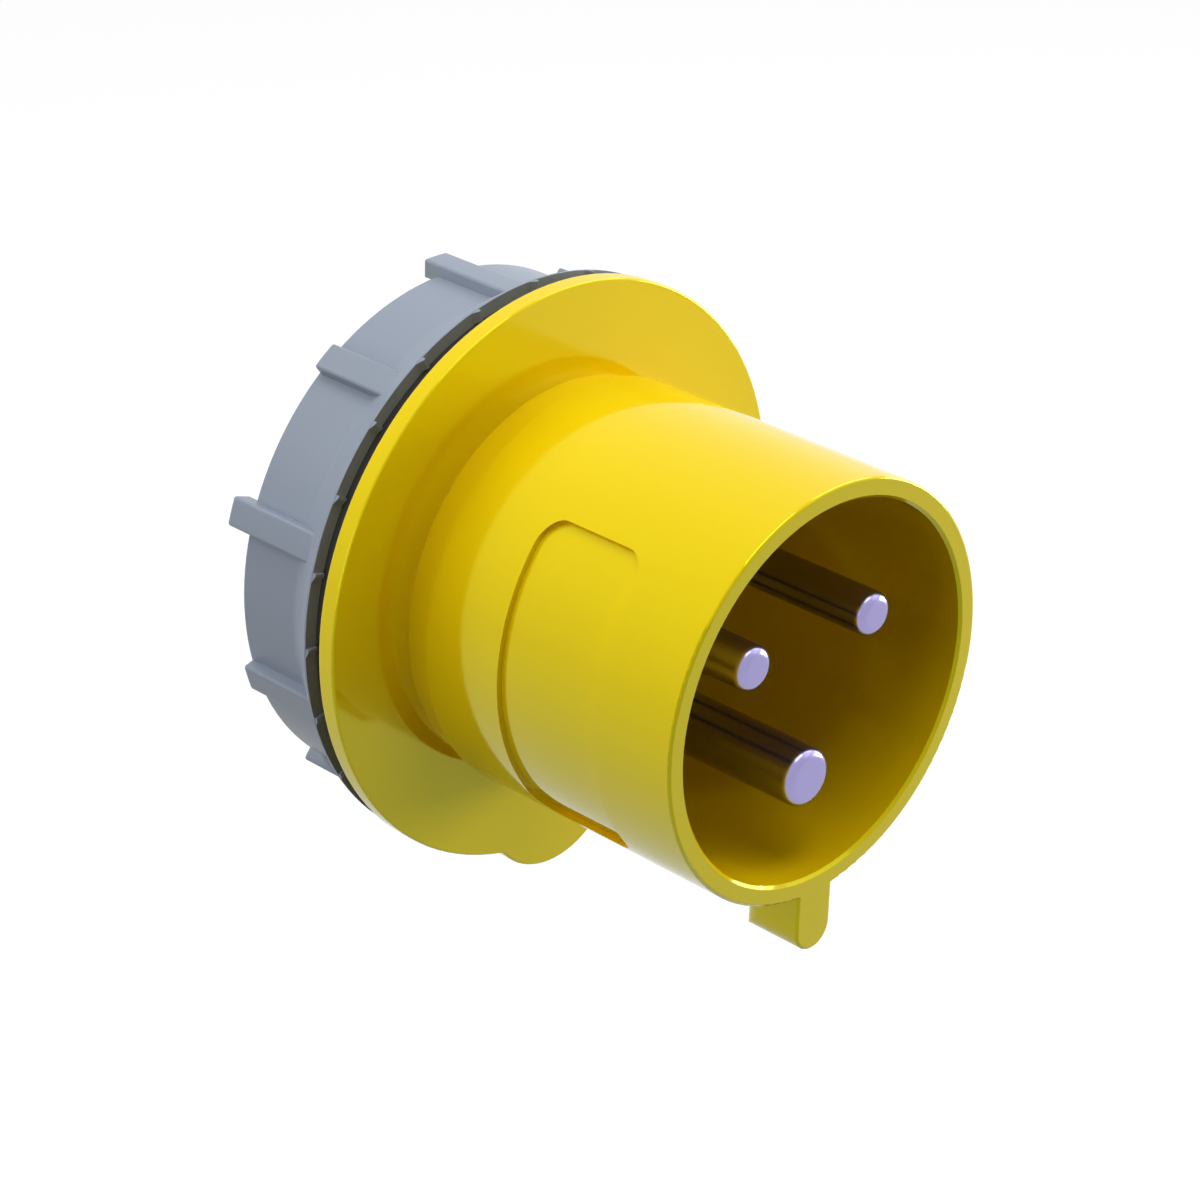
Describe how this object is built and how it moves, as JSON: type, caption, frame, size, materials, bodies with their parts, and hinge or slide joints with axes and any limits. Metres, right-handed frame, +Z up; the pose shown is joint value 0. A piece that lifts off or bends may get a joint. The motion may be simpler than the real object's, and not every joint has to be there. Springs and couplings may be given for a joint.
{
  "type": "industrial plug",
  "caption": "Panel-mounted round industrial plug: keyed shroud around contact pins, round flange with a lobe, panel gasket, and a ribbed ring nut behind.",
  "frame": {"origin": "on the plug's axis, in the plane of the flange's back face, which seats on the panel through the gasket", "axes": "+Y runs along the plug's axis from the mouth to the terminals, so the mouth opens towards -Y; +Z is up, away from the key and the flange's lobe; +X is the side of the neutral pin"},
  "size_m": [0.0806, 0.0782, 0.0842],
  "materials": {
    "housing_plastic": "glossy yellow moulding",
    "nut_plastic": "satin light blue-grey moulding",
    "carrier_plastic": "matt black moulding",
    "black_rubber": "plain black rubber",
    "plated_brass": "bright nickel-plated brass",
    "screw_steel": "zinc-plated steel",
    "spring_brass": "bare spring brass"
  },
  "bodies": {
    "plug": {"front_housing": "housing_plastic", "panel_gasket": "black_rubber", "contact_carrier": "carrier_plastic", "carrier_seal": "black_rubber", "carrier_screws": "screw_steel", "retaining_plate": "carrier_plastic", "plate_screws": "screw_steel", "earth_pin": "plated_brass", "earth_pin_seal": "black_rubber", "earth_wire_screw": "screw_steel", "earth_wire_leaf": "spring_brass", "line_pin": "plated_brass", "line_pin_seal": "black_rubber", "line_wire_leaf": "spring_brass", "neutral_pin": "plated_brass", "neutral_pin_seal": "black_rubber", "neutral_wire_leaf": "spring_brass", "phase_wire_screws": "screw_steel"},
    "nut": {"ring_nut": "nut_plastic"}
  },
  "joints": [
    {"name": "nut_travel", "type": "slide", "parent": "plug", "child": "nut", "axis": [0, 1, 0], "range_m": [0, 0.02]}
  ]
}
